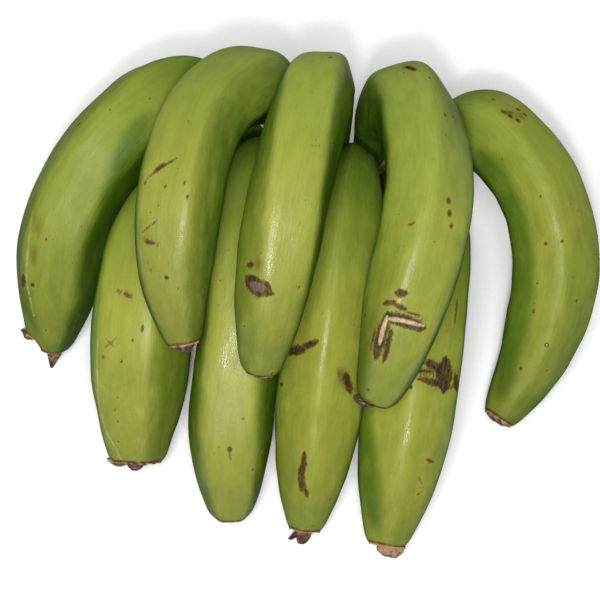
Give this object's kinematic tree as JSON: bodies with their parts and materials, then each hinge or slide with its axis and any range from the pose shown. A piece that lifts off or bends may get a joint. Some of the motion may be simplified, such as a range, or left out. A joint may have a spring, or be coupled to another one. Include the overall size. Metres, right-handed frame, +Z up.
{
  "type": "hand of green bananas",
  "caption": "Hand of green bananas grown together at one crown, lying crown down, with an upper row of curved, ridged fruit arching over a lower row and dried flower ends at the tips.",
  "frame": {"origin": "centre of the whole hand's bounding box, on the table plane that the crown's cut face and the fruit tips rest on", "axes": "+X across the hand from the left fruit to the right one, -Y from the crown towards the tips, +Z up from the table"},
  "size_m": [0.2356, 0.1974, 0.1089],
  "materials": {
    "skin": "satin waxy green skin, greener at neck and tip, with brown scars and specks",
    "crown": "matt green-brown fibrous cushion with a dried brown cut face",
    "dried_flower": "matt dark brown to tan dried flower remains"
  },
  "bodies": {
    "root": {"crown": "crown", "finger_upper_1": "skin", "finger_upper_2": "skin", "finger_upper_3": "skin", "finger_upper_4": "skin", "finger_upper_5": "skin", "finger_lower_1": "skin", "finger_lower_2": "skin", "finger_lower_3": "skin", "finger_lower_4": "skin", "flower_end_upper_1": "dried_flower", "flower_end_upper_2": "dried_flower", "flower_end_upper_3": "dried_flower", "flower_end_upper_4": "dried_flower", "flower_end_upper_5": "dried_flower", "flower_end_lower_1": "dried_flower", "flower_end_lower_2": "dried_flower", "flower_end_lower_3": "dried_flower", "flower_end_lower_4": "dried_flower"}
  },
  "joints": []
}
